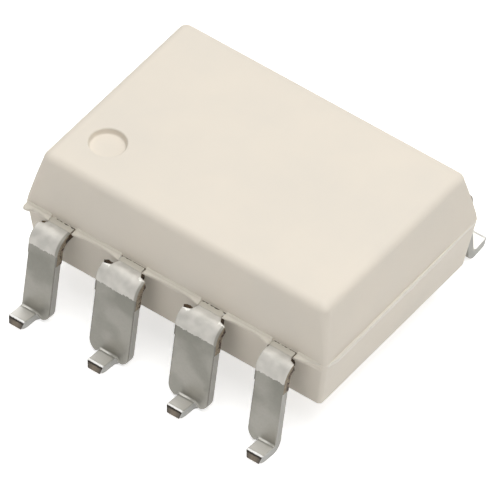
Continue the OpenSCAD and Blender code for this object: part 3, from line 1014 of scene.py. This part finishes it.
def sheared_end():
    """Bare metal where the foot was cut off: a dark band of painted shadow under its lip, over a
    dull grey-brown land.
    """
    material, tree, shader = new_material("sheared_alloy")
    across, _, depth, vector = blank_place(tree)
    fine = noise_of(tree, vector, 30.0, 4.0, 0.65)
    depth = shaken(tree, depth, fine, 0.05)
    middle = fade_out(tree, math_node(tree, "ABSOLUTE", across, 0.0), 0.06, 0.24)
    patch = times(tree, middle, map_range(tree, fine, 0.3, 0.7, 0.5, 1.0))
    land = mix_colour(tree, patch, LAND_DARK, LAND_PATCH)
    # painted shadow: a dark band just under the bright lip
    colour = mix_colour(tree, fade_out(tree, depth, 0.08, 0.11), land, END_LIP_SHADOW)
    colour = mix_colour(tree, fade_out(tree, depth, 0.03, 0.04), colour, END_LIP)
    tree.links.new(colour, shader.inputs["Base Color"])
    shader.inputs["Metallic"].default_value = 0.6
    shader.inputs["Roughness"].default_value = 0.5
    bump(tree, shader, fine, 0.5, 0.01)
    return material


def inner_material(name, dark, pale, scale, **settings):
    """A finish for a piece inside the body: two tones in a fine pattern."""
    material, tree, shader = new_material(name)
    pattern = noise_of(tree, position_mm(tree), scale, 4.0)
    colour = mix_colour(tree, pattern, dark, pale)
    tree.links.new(colour, shader.inputs["Base Color"])
    for key, value in settings.items():
        shader.inputs[key.replace("_", " ")].default_value = value
    bump(tree, shader, pattern, 0.2, 0.002)
    return material


def dress_inner_nodes():
    finishes = {
        "led_die": inner_material("gallium_arsenide", (0.05, 0.05, 0.06), (0.1, 0.1, 0.12), 20.0,
                                  Roughness=0.25),
        "detector_die": inner_material("silicon", (0.06, 0.07, 0.1), (0.12, 0.13, 0.17), 12.0,
                                       Roughness=0.15),
        "attach": inner_material("silver_epoxy", (0.45, 0.45, 0.46), (0.6, 0.6, 0.6), 30.0,
                                 Roughness=0.5, Metallic=0.6),
        "wire": inner_material("gold", (0.95, 0.68, 0.28), (1.0, 0.76, 0.36), 40.0,
                               Roughness=0.2, Metallic=1.0),
        "light_guide": inner_material("silicone", (0.8, 0.82, 0.82), (0.9, 0.92, 0.92), 3.0,
                                      Roughness=0.1, Alpha=0.5),
    }
    for name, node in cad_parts.items():
        for word, material in finishes.items():
            if word in name:
                node.data.materials.clear()
                node.data.materials.append(material)


# ---- Stage, light and camera ----

def seen_ray(tree):
    """1 for a ray from the camera or one that a gloss or clear surface sends on, and else 0."""
    rays = tree.nodes.new("ShaderNodeLightPath")
    seen = math_node(tree, "MAXIMUM", rays.outputs["Is Camera Ray"], rays.outputs["Is Glossy Ray"])
    return math_node(tree, "MAXIMUM", seen, rays.outputs["Is Transmission Ray"])


def floor_material():
    """Pale paper that takes the shadow, and glows a little to the camera and in reflections."""
    material, tree, shader = new_material("paper")
    shader.inputs["Base Color"].default_value = (0.95, 0.95, 0.95, 1)
    shader.inputs["Roughness"].default_value = 0.9
    shader.inputs["Specular IOR Level"].default_value = 0.0
    glow = add_node(tree, "ShaderNodeEmission", Color=(1, 1, 1, 1))
    tree.links.new(times(tree, seen_ray(tree), 0.6), glow.inputs["Strength"])
    both = tree.nodes.new("ShaderNodeAddShader")
    output = tree.nodes["Material Output"]
    tree.links.new(shader.outputs[0], both.inputs[0])
    tree.links.new(glow.outputs[0], both.inputs[1])
    tree.links.new(both.outputs[0], output.inputs["Surface"])
    return material


def make_stage():
    bm = bmesh.new()
    bmesh.ops.create_grid(bm, x_segments=1, y_segments=1, size=1.5)
    mesh = bpy.data.meshes.new("floor")
    bm.to_mesh(mesh)
    bm.free()
    mesh.materials.append(floor_material())
    floor = bpy.data.objects.new("floor", mesh)
    bpy.context.scene.collection.objects.link(floor)


def make_world(strength):
    world = bpy.data.worlds.new("studio")
    bpy.context.scene.world = world
    world.use_nodes = True
    tree = world.node_tree
    background = tree.nodes["Background"]
    background.inputs["Color"].default_value = (1, 1, 1, 1)
    level = map_range(tree, seen_ray(tree), 0, 1, strength, 1.0)
    tree.links.new(level, background.inputs["Strength"])


def area_lamp(name, azimuth, elevation, distance, size, power):
    """A square softbox that faces the part. Angles are in degrees, lengths in millimetres."""
    lamp = bpy.data.lights.new(name, "AREA")
    lamp.shape = "SQUARE"
    lamp.size = size * MM
    lamp.energy = power
    lamp.color = (1, 1, 1)
    holder = bpy.data.objects.new(name, lamp)
    a, e = math.radians(azimuth), math.radians(elevation)
    back = Vector((math.sin(a) * math.cos(e), -math.cos(a) * math.cos(e), math.sin(e)))
    holder.location = back * distance * MM
    holder.rotation_euler = back.to_track_quat("Z", "Y").to_euler()
    bpy.context.scene.collection.objects.link(holder)


def make_lights():
    make_world(0.23)
    area_lamp("key", 110, 62, 120, 90, 0.04)
    area_lamp("top", 200, 84, 120, 110, 0.099)
    area_lamp("front", -5, 3, 120, 90, 0.026)


def make_camera():
    """The photo's viewpoint: a long lens, a little turned about its axis."""
    azimuth, elevation, roll = (math.radians(a) for a in (34.166, 46.323, 2.907))
    distance, shift_x, shift_y, focal = 273.42, 0.0092, 0.5085, 761.82
    target = Vector((-0.021, 0, 2))
    back = Vector((
        math.sin(azimuth) * math.cos(elevation), -math.cos(azimuth) * math.cos(elevation),
        math.sin(elevation),
    ))
    level = Vector((math.cos(azimuth), math.sin(azimuth), 0))
    up_level = back.cross(level)
    right = math.cos(roll) * level + math.sin(roll) * up_level
    up = -math.sin(roll) * level + math.cos(roll) * up_level
    place = target - shift_x * right - shift_y * up + distance * back
    camera = bpy.data.cameras.new("camera")
    camera.sensor_width = 36
    camera.lens = focal
    camera.clip_start = 0.01
    camera.clip_end = 10
    holder = bpy.data.objects.new("camera", camera)
    turn = Matrix((right, up, back)).transposed().to_4x4()
    holder.matrix_world = Matrix.Translation(place * MM) @ turn
    bpy.context.scene.collection.objects.link(holder)
    bpy.context.scene.camera = holder


# ---- The scene ----

make_camera()
make_stage()
make_lights()
bpy.context.scene.view_settings.view_transform = "Standard"

white_resin = resin("white_resin", (0.805, 0.735, 0.632), (0.77, 0.71, 0.618))
flash_resin = resin("flash_resin", (0.72, 0.68, 0.605), (0.69, 0.65, 0.58))
flash_edge = resin("flash_edge", (0.89, 0.845, 0.76), (0.85, 0.805, 0.725))
ledge_resin = resin("ledge_resin", (0.71, 0.665, 0.575), (0.66, 0.615, 0.53))
thin_resin = resin("thin_resin", (0.57, 0.54, 0.465), (0.49, 0.46, 0.395))
cut_metal = [sheared_end(), sheared_side()]
end_finishes = [plating("end_plating", False), *cut_metal]
middle_finishes = [plating("middle_plating", True), *cut_metal]

make_body(white_resin)
make_ledges([white_resin, ledge_resin])
make_end_flash([flash_resin, flash_edge])
make_bleed(thin_resin)
# painted shade in the notches beside the necks
make_painted_notch_shade(resin("painted_shade_resin", (0.015, 0.009, 0.005), (0.06, 0.036, 0.016), 0.8))
for number in range(1, 9):
    make_lead(number, end_finishes if number in (1, 4, 5, 8) else middle_finishes)
dress_inner_nodes()
